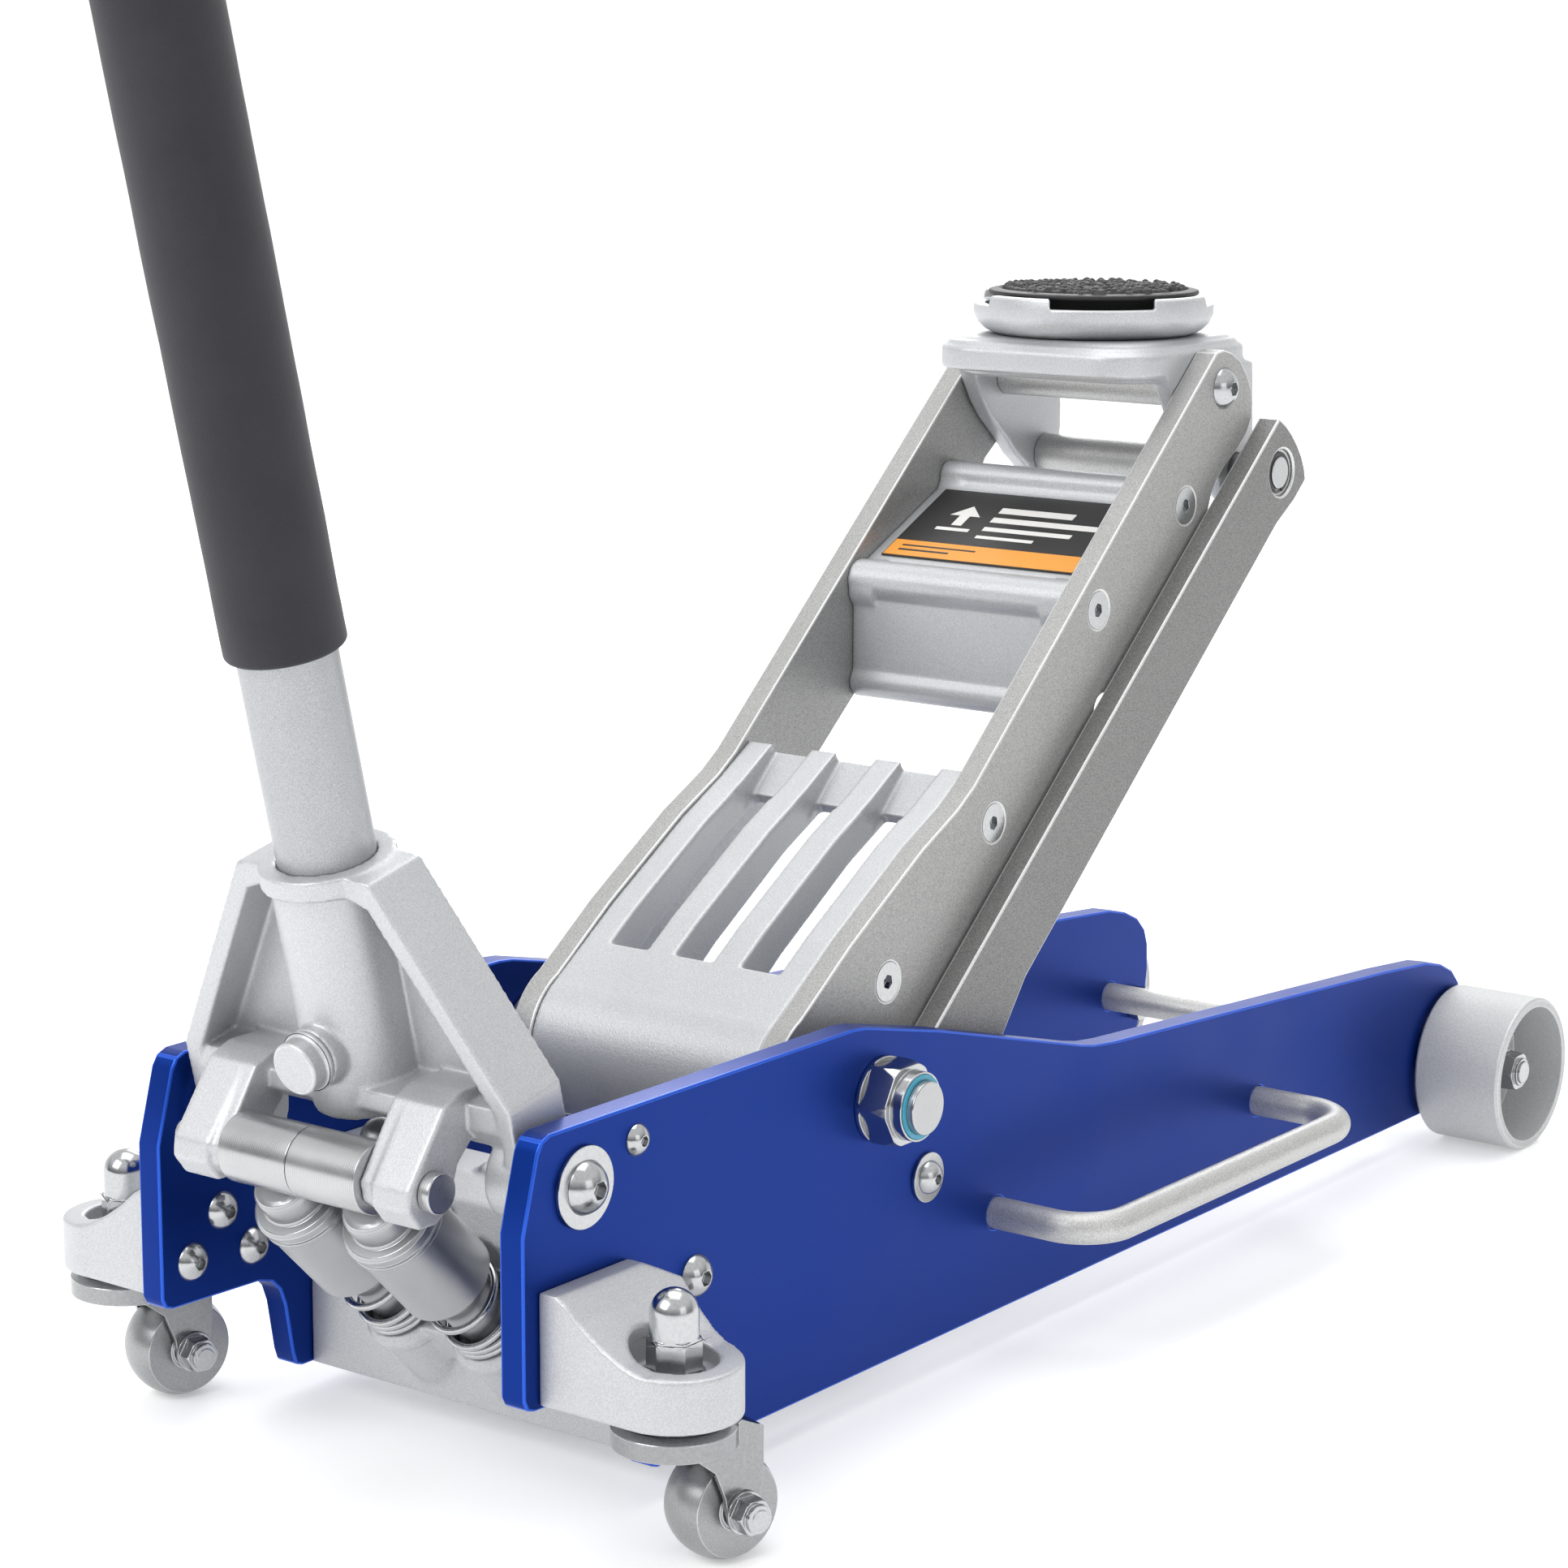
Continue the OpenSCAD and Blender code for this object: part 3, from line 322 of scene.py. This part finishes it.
dress("wheel_nuts", "zinc", None, 0.35, 2)
dress("bracket_screws", "zinc", None, 0.25, 2)
dress("caster_stud_nuts", "zinc", None, 0.4, 2)
dress("washers", "zinc", None, 0.3, 2)
dress("arm_pivot_shaft", "turned_y", "zinc", 0.7, 2)
dress("arm_pivot_nuts", "zinc", None, 0.45, 2)
dress("nut_inserts", "teal", None, 0.3, 2)
dress("frame_bolts", "zinc", None, 0.3, 2)
dress("link_frame_pin", "zinc", None, 0.3, 2)
cast_skin("arm_cover", "cast", 1.0, 4)
cast_skin("arm_web", "cast", 1.0, 4)
dress("arm_screws", "zinc", None, 0.2, 1)
dress("arm_label", "label", None, 0, 1)
dress("crosshead_pin", "turned_y", "zinc", 0.5, 2)
dress("top_pivot_bolt", "zinc", None, 0.35, 2)
# the level link is coloured with the darker, painted-shade copy of the blasted aluminium
dress("level_link", "blast_painted_shade", "blast_edge", 1.1, 2)
cast_skin("saddle_bracket", "cast", 1.0, 22)
dress("pivot_spacer_tube", "rod", None, 0.4, 2)
dress("lower_cross_tube", "rod", None, 0.4, 2)
dress("link_pin", "turned_y", "zinc", 0.5, 2)
# the circlip is coloured near-black as painted shade of its socket
dress("link_circlip", "circlip_painted_shade", None, 0.2, 1)
dress("saddle_cup", "cast", "cast_edge", 1.0, 3, angle=40)
dress("ram", "turned_x", "zinc", 0.5, 2)
cast_skin("handle_yoke", "cast", 0.9, 7)
dress("roller_pin", "turned_y", "zinc", 0.8, 2)
dress("lock_bolt", "cast", "cast_edge", 1.4, 3)
dress("handle_tube_lower", "tube", None, 0.4, 2)
dress("handle_tube_upper", "tube", None, 0.4, 2)
dress("release_spindle", "turned_45", "zinc", 0.5, 2)


# ---------------------------------------------------------------- mesh helpers
def make(name, verts, faces, mats, body, smooth=True):
    me = bpy.data.meshes.new(name)
    me.from_pydata([tuple(v) for v in verts], [], faces)
    me.update()
    if smooth:
        me.polygons.foreach_set("use_smooth", [True] * len(me.polygons))
    for m in mats:
        me.materials.append(M[m])
    o = bpy.data.objects.new(name, me)
    bpy.context.scene.collection.objects.link(o)
    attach(o, body)
    return o


def tube(points, r, sides=10, radii=None):
    """Closed tube along a list of points, with flat round ends."""
    p = [Vector(q) for q in points]
    n = len(p)
    verts, faces = [], []
    t0 = (p[1] - p[0]).normalized()
    ref = Vector((0, 0, 1)) if abs(t0.z) < 0.9 else Vector((0, 1, 0))
    u = t0.cross(ref).normalized()
    for i in range(n):
        t = (p[min(i + 1, n - 1)] - p[max(i - 1, 0)]).normalized()
        u = (u - t * u.dot(t)).normalized()
        w = t.cross(u)
        rr = r if radii is None else radii[i]
        for k in range(sides):
            a = 2 * math.pi * k / sides
            verts.append(p[i] + (u * math.cos(a) + w * math.sin(a)) * rr)
    for i in range(n - 1):
        for k in range(sides):
            a, b = i * sides + k, i * sides + (k + 1) % sides
            faces.append((a, b, b + sides, a + sides))
    verts.append(p[0])
    verts.append(p[-1])
    c0, c1 = len(verts) - 2, len(verts) - 1
    for k in range(sides):
        faces.append((c0, (k + 1) % sides, k))
        b = (n - 1) * sides
        faces.append((c1, b + k, b + (k + 1) % sides))
    return verts, faces


def revolve(profile, origin, axis, segs=72, wobble=None):
    """Closed body of revolution: profile is (radius, height) pairs in millimetres."""
    axis = Vector(axis).normalized()
    ref = Vector((0, 1, 0)) if abs(axis.y) < 0.9 else Vector((1, 0, 0))
    u = axis.cross(ref).normalized()
    w = axis.cross(u)
    verts, faces = [], []
    n = len(profile)
    for i, (r, h) in enumerate(profile):
        for k in range(segs):
            a = 2 * math.pi * k / segs
            rr = r + (wobble(i, a, h) if wobble else 0)
            spoke = u * math.cos(a) + w * math.sin(a)
            verts.append(Vector(origin) + axis * (h / 1000) + spoke * (rr / 1000))
    for i in range(n):
        j = (i + 1) % n
        for k in range(segs):
            k2 = (k + 1) % segs
            faces.append((i * segs + k, i * segs + k2, j * segs + k2, j * segs + k))
    return verts, faces


# ---------------------------------------------------------------- pump springs
S45 = math.sqrt(0.5)
DOWN = Vector((S45, 0, -S45))
CAP_TOP = (1.3, 137.2)  # x and z of the middle of each plunger's top, at rest
PUMP_Y = 25  # each pump's distance from the middle plane
SEAT = 104.0  # from the cap's top to the spring's seat on the pump block
UNDER_CAP = 26.3  # from the cap's top to the face that the spring pushes on
COIL_R = 16.4
COIL_WIRE = 1.7
COIL_TURNS = (4.3, 1.2, 2.3)  # closed under the cap, open, closed on the seat


def coil_depth(turn, open_turns, closed_top, closed_low):
    """Distance below the cap of the wire's middle after a number of turns: closed, open, closed."""
    tight = 2 * COIL_WIRE + 0.1
    run = SEAT - UNDER_CAP - 2 * COIL_WIRE - tight * (closed_top + closed_low)
    d = UNDER_CAP + COIL_WIRE + tight * min(turn, closed_top)
    d += run * min(max((turn - closed_top) / open_turns, 0), 1)
    return d + tight * max(turn - closed_top - open_turns, 0)


for side, s in (("right", -1), ("left", 1)):
    top = at(CAP_TOP[0], s * PUMP_Y, CAP_TOP[1])
    side_v = Vector((0, 1, 0))
    up_v = DOWN.cross(side_v)
    pts = []
    steps = int(sum(COIL_TURNS) * 36)
    for i in range(steps + 1):
        turn = sum(COIL_TURNS) * i / steps
        a = 2 * math.pi * turn + math.radians(70)
        d = coil_depth(turn, *COIL_TURNS)
        spoke = side_v * math.cos(a) + up_v * math.sin(a)
        pts.append(top + DOWN * (d / 1000) + spoke * (COIL_R / 1000))
    v, f_ = tube(pts, COIL_WIRE / 1000, 12)
    o = make("coil_spring_" + side, v, f_, ["zinc"], "frame")
    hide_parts("plunger_spring_" + side)
    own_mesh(o)

# ---------------------------------------------------------------- arm return springs
SPRING_Y, SPRING_Z = 0.046, 0.082  # distance from the middle plane, height of the axis
SPRING_R, SPRING_WIRE = 0.0065, 0.0013
SPRING_TURNS = 31
HOOK_RUN, HOOK_DROP = 0.0015, 0.0028  # how the wire leaves the coil for its hook
pin_lo, pin_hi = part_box("crosshead_pin")
x_in = (pin_lo.x + pin_hi.x) / 2 - 0.0061
vs, fs = [], []
for s in (-1, 1):
    y = s * SPRING_Y - OY
    z = SPRING_Z
    x0 = 0.138 - OX
    x1 = x_in - 0.012
    pts = [Vector((x0 - 0.0095, y, z)), Vector((x0 - 0.004, y, z)),
           Vector((x0 - HOOK_RUN, y, z - HOOK_DROP))]
    steps = SPRING_TURNS * 18
    for i in range(steps + 1):
        a = 2 * math.pi * SPRING_TURNS * i / steps - math.pi / 2
        x = x0 + (x1 - x0) * i / steps
        pts.append(Vector((x, y + SPRING_R * math.cos(a), z + SPRING_R * math.sin(a))))
    pts += [Vector((x1 + HOOK_RUN, y, z - HOOK_DROP)), Vector((x1 + 0.004, y, z)),
            Vector((x_in, y, z + 0.0004))]
    v, f_ = tube(pts, SPRING_WIRE, 8)
    base = len(vs)
    vs += v
    fs += [tuple(k + base for k in q) for q in f_]
o = make("extension_springs", vs, fs, ["zinc"], "frame")
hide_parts("return_springs")
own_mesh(o)

# ---------------------------------------------------------------- handle sleeve and grip
LEAN = math.radians(13.5)
UP_H = Vector((-math.sin(LEAN), 0, math.cos(LEAN)))
K = at(36.6, 0, 149.3)  # the yoke pin, which the handle leans about
TUBE_R = 20.55  # inside the foam and the grip, just off the tube
FOAM_R, FOAM_FROM, FOAM_TO = 24.8, 219, 649
RIB_R, RIB_FROM, RIB_TO, RIB_PITCH = 23.4, 1036.0, 1156, 6.0
GRIP_INNER_END = 1158.2


def ring_profile(r_out, r_in, h0, h1, lip, steps):
    """Outline of a sleeve with rounded ends, out along the outside and back inside."""
    p = [(r_in, h0)]
    for i in range(5):
        a = math.radians(90 * i / 4)
        p.append((r_out - lip + lip * math.sin(a), h0 + lip - lip * math.cos(a)))
    for i in range(1, steps):
        p.append((r_out, h0 + lip + (h1 - h0 - 2 * lip) * i / steps))
    for i in range(5):
        a = math.radians(90 * i / 4)
        p.append((r_out - lip + lip * math.cos(a), h1 - lip + lip * math.sin(a)))
    p.append((r_in, h1))
    return p


def foam_wobble(i, a, h):
    q = Vector((math.cos(a) * 0.9, math.sin(a) * 0.9, h / 38))
    return 0.30 * noise.noise(q) + 0.08 * noise.noise(q * 5)


prof = ring_profile(FOAM_R, TUBE_R, FOAM_FROM, FOAM_TO, 2.2, 70)
v, f_ = revolve(prof, K, UP_H, 80, lambda i, a, h: foam_wobble(i, a, h) if 0 < i < len(prof) - 1 else 0)
foam = make("foam_grip", v, f_, ["foam"], "handle")
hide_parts("foam_sleeve")

# ribbed end grip
prof = [(TUBE_R, 1026)]
for i in range(5):
    a = math.radians(90 * i / 4)
    prof.append((22.9 + 2 * math.sin(a), 1028 - 2 * math.cos(a)))
prof += [(24.9, 1030), (24.4, 1032), (23.4, 1034)]
h = RIB_FROM
while h < RIB_TO:
    for dr, dh in ((0.0, 0.0), (0.0, 3.4), (-0.5, 3.8), (-0.9, 4.3), (-0.9, 4.9), (-0.5, 5.4)):
        prof.append((RIB_R + dr, h + dh))
    h += RIB_PITCH
for i in range(7):
    a = math.radians(90 * i / 6)
    prof.append((18.4 + 5.0 * math.cos(a), 1163 + 6.8 * math.sin(a)))
prof += [(9, 1169.9), (0.05, 1169.9), (0.05, GRIP_INNER_END), (TUBE_R, GRIP_INNER_END)]
v, f_ = revolve(prof, K, UP_H, 72)
grip = make("handle_end_grip", v, f_, ["rubber"], "handle")
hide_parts("end_grip")

# ---------------------------------------------------------------- rubber pad
pad_lo, pad_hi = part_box("saddle_pad")
cx, cy = (pad_lo.x + pad_hi.x) / 2, (pad_lo.y + pad_hi.y) / 2
z0 = pad_lo.z - 0.006
GRAIN_FIELD = 46.0  # half the width of the field of lumps
LUMP_PITCH = 5.0
PAD_BASE = 21.3  # height of the skin between the lumps
rng = random.Random(7)
seeds = []
row = 0
yy = -GRAIN_FIELD
while yy <= GRAIN_FIELD:
    xx = -GRAIN_FIELD + (row % 2) * LUMP_PITCH / 2
    while xx <= GRAIN_FIELD:
        q = (xx + rng.uniform(-0.9, 0.9), yy + rng.uniform(-0.9, 0.9))
        if math.hypot(*q) < 46.2:
            seeds.append((q[0], q[1], rng.uniform(2.1, 2.9), rng.uniform(2.2, 3.8)))
        xx += LUMP_PITCH
    yy += LUMP_PITCH * 0.87
    row += 1
tree = kdtree.KDTree(len(seeds))
for i, q in enumerate(seeds):
    tree.insert((q[0], q[1], 0), i)
tree.balance()


def pad_height(x, y):
    """How far the highest lump over a point stands up from the skin."""
    h = 0.0
    for co, i, d in tree.find_range((x, y, 0), 3.0):
        q = seeds[i]
        if d < q[2]:
            h = max(h, q[3] * math.sqrt(max(0.0, 1 - (d / q[2]) ** 2)) ** 0.8)
    return h


segs = 300
rings = [0.6 + 0.72 * i for i in range(66)]
verts, faces = [Vector((cx, cy, z0 + 0.0235))], []
for r in rings:
    for k in range(segs):
        a = 2 * math.pi * k / segs
        x, y = r * math.cos(a), r * math.sin(a)
        hh = PAD_BASE + pad_height(x, y) + 0.25 * noise.noise(Vector((x * 0.9, y * 0.9, 1.0)))
        verts.append(Vector((cx + x / 1000, cy + y / 1000, z0 + hh / 1000)))
# rim, lip and foot of the pad: radius and height
edge = [(48.2, 22.6), (49.6, 22.2), (51.8, 22.0), (53.0, 21.6), (53.25, 20.6),
        (52.9, 19.8), (51.5, 19.3), (48.2, 17.2), (47.6, 8.2), (46, 6.05)]
for r, hh in edge:
    for k in range(segs):
        a = 2 * math.pi * k / segs
        verts.append(Vector((cx + r * math.cos(a) / 1000, cy + r * math.sin(a) / 1000, z0 + hh / 1000)))
for k in range(segs):
    faces.append((0, 1 + k, 1 + (k + 1) % segs))
for i in range(len(rings) + len(edge) - 1):
    for k in range(segs):
        a, b = 1 + i * segs + k, 1 + i * segs + (k + 1) % segs
        faces.append((a, a + segs, b + segs, b))
last = 1 + (len(rings) + len(edge) - 1) * segs
verts.append(Vector((cx, cy, z0 + 0.00605)))
for k in range(segs):
    faces.append((len(verts) - 1, last + (k + 1) % segs, last + k))
pad = make("grained_pad", verts, faces, ["rubber"], "saddle")
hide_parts("saddle_pad")

# ---------------------------------------------------------------- printed marks on the label
ARM_X, ARM_Z = 240, 140  # the arm's pivot
A0 = (ARM_X + 228.0, ARM_Z + 202.5)  # lower and upper edge of the label's panel
A1 = (ARM_X + 284.4, ARM_Z + 229.75)
LL = math.hypot(A1[0] - A0[0], A1[1] - A0[1])
UX, UZ = (A1[0] - A0[0]) / LL, (A1[1] - A0[1]) / LL
PRINT_LIFT, PRINT_THICK = 0.50, 0.12


def on_label(t, y, lift):
    """A point of the panel: t along it from its lower edge, y across it, in millimetres."""
    return at(A0[0] + UX * t - UZ * lift, y, A0[1] + UZ * t + UX * lift)


def print_patch(outline, mat):
    """A thin raised print with the given outline."""
    n = len(outline)
    v = [on_label(t, y, PRINT_LIFT) for t, y in outline]
    v += [on_label(t, y, PRINT_LIFT + PRINT_THICK) for t, y in outline]
    f = [tuple(range(n - 1, -1, -1)), tuple(range(n, 2 * n))]
    f += [(k, (k + 1) % n, n + (k + 1) % n, n + k) for k in range(n)]
    return v, f, mat


marks = [print_patch([(0.6, -56.4), (0.6, 56.4), (14.2, 56.4), (14.2, -56.4)], "orange")]
# up arrow over a bar
marks.append(print_patch([(40, 40), (49, 31), (40, 22), (40, 28), (31, 28), (31, 34), (40, 34)], "white"))
marks.append(print_patch([(26, 41), (26, 21), (28.6, 21), (28.6, 41)], "white"))
# plain bars where the real label has words
for t0, t1, y0, y1 in ((45, 50, 14, -30), (36.5, 41, 14, -50), (28.5, 32, 14, -38), (21.5, 24, 14, -20)):
    marks.append(print_patch([(t0, y0), (t0, y1), (t1, y1), (t1, y0)], "white"))
marks.append(print_patch([(5, 50), (5, 20), (6.4, 20), (6.4, 50)], "label"))
marks.append(print_patch([(9, 50), (9, 6), (10.2, 6), (10.2, 50)], "label"))
order = ["orange", "white", "label"]
vs, fs, mi = [], [], []
for v, f_, mat in marks:
    base = len(vs)
    lift = 0.1 if mat == "label" else 0.0
    vs += [q + Vector((-UZ, 0, UX)) * (lift / 1000) for q in v]
    fs += [tuple(k + base for k in q) for q in f_]
    mi += [order.index(mat)] * len(f_)
art = make("label_print", vs, fs, order, "arm", smooth=False)
art.data.polygons.foreach_set("material_index", mi)

# ---------------------------------------------------------------- stage, light, camera
YAW, PITCH, ROLL = math.radians(37.23), math.radians(10.87), math.radians(0.15)
WHITE_PAPER_GLOW = 0.28


def floor():
    """White paper: flat under the object and curved up behind it, square to the camera."""
    n = 24
    wide, far, bend, top = 60, 6.0, 3.0, 7.0
    prof = [(-wide, 0.0), (far, 0.0)]
    for i in range(1, n + 1):
        a = math.radians(90 * i / n)
        prof.append((far + bend * math.sin(a), bend - bend * math.cos(a)))
    prof.append((far + bend, top))
    d = Vector((math.cos(YAW), math.sin(YAW), 0))
    s = Vector((-d.y, d.x, 0))
    v, f = [], []
    for t, z in prof:
        for w in (-wide, wide):
            v.append(d * t + s * w + Vector((0, 0, z)))
    for i in range(len(prof) - 1):
        f.append((2 * i, 2 * i + 2, 2 * i + 3, 2 * i + 1))
    me = bpy.data.meshes.new("studio_floor")
    me.from_pydata(v, [], f)
    me.polygons.foreach_set("use_smooth", [True] * len(me.polygons))
    o = bpy.data.objects.new("studio_floor", me)
    bpy.context.scene.collection.objects.link(o)
    m, nt, b = nt_new("paper_white")
    vec = tex_coord(nt)
    col = ramp(nt, noise_node(nt, vec, 3.0, 2, 0.5), [(0.3, (0.86, 0.86, 0.86)), (0.7, (0.88, 0.88, 0.88))])
    nt.links.new(col, b.inputs["Base Color"])
    b.inputs["Roughness"].default_value = 0.8
    b.inputs["Specular IOR Level"].default_value = 0.2
    b.inputs["Emission Color"].default_value = (1, 1, 1, 1)
    b.inputs["Emission Strength"].default_value = WHITE_PAPER_GLOW
    me.materials.append(m)


floor()

world = bpy.data.worlds.new("studio")
bpy.context.scene.world = world
world.use_nodes = True
wn = world.node_tree
bg = wn.nodes["Background"]
tc = wn.nodes.new("ShaderNodeTexCoord")
sp = wn.nodes.new("ShaderNodeSeparateXYZ")
wn.links.new(tc.outputs["Generated"], sp.inputs["Vector"])
rp = wn.nodes.new("ShaderNodeValToRGB")
e = rp.color_ramp.elements
e[0].position, e[0].color = 0.52, (0.17, 0.17, 0.18, 1)
e[1].position, e[1].color = 0.78, (1.0, 1.0, 1.0, 1)
mr = wn.nodes.new("ShaderNodeMapRange")
mr.inputs["From Min"].default_value = -1
wn.links.new(sp.outputs["Z"], mr.inputs["Value"])
wn.links.new(mr.outputs["Result"], rp.inputs["Fac"])
wn.links.new(rp.outputs["Color"], bg.inputs["Color"])
bg.inputs["Strength"].default_value = 0.95


def area(name, loc, target, size, power):
    l = bpy.data.lights.new(name, "AREA")
    l.energy = power
    l.size = size
    o = bpy.data.objects.new(name, l)
    o.location = loc
    o.rotation_euler = (Vector(target) - Vector(loc)).to_track_quat("-Z", "Y").to_euler()
    bpy.context.scene.collection.objects.link(o)
    return o


area("key", (-3.0, 0.9, 2.6), (0.0, 0.0, 0.25), 2.2, 70)
area("top", (0.4, 0.2, 3.4), (0.1, 0.0, 0.2), 2.6, 40)
area("fill", (-0.6, -3.2, 1.1), (0.1, 0.0, 0.2), 1.6, 8)
area("rim", (2.6, 1.6, 1.8), (0.1, 0.0, 0.3), 1.4, 25)

cam_data = bpy.data.cameras.new("camera")
cam = bpy.data.objects.new("camera", cam_data)
bpy.context.scene.collection.objects.link(cam)
look = Vector((math.cos(PITCH) * math.cos(YAW), math.cos(PITCH) * math.sin(YAW), -math.sin(PITCH)))
cam.location = at(-1104.3, -1069.2, 610.0)
cam.rotation_mode = "QUATERNION"
q = look.to_track_quat("-Z", "Y")
cam.rotation_quaternion = q @ Matrix.Rotation(ROLL, 3, "Z").to_quaternion()
cam_data.sensor_width = 36.0
cam_data.sensor_fit = "HORIZONTAL"
cam_data.lens = 89.246
cam_data.shift_x = 0.00758
cam_data.shift_y = -0.01702
cam_data.clip_end = 100
bpy.context.scene.camera = cam

bpy.context.scene.view_settings.view_transform = "Standard"
bpy.context.view_layer.update()
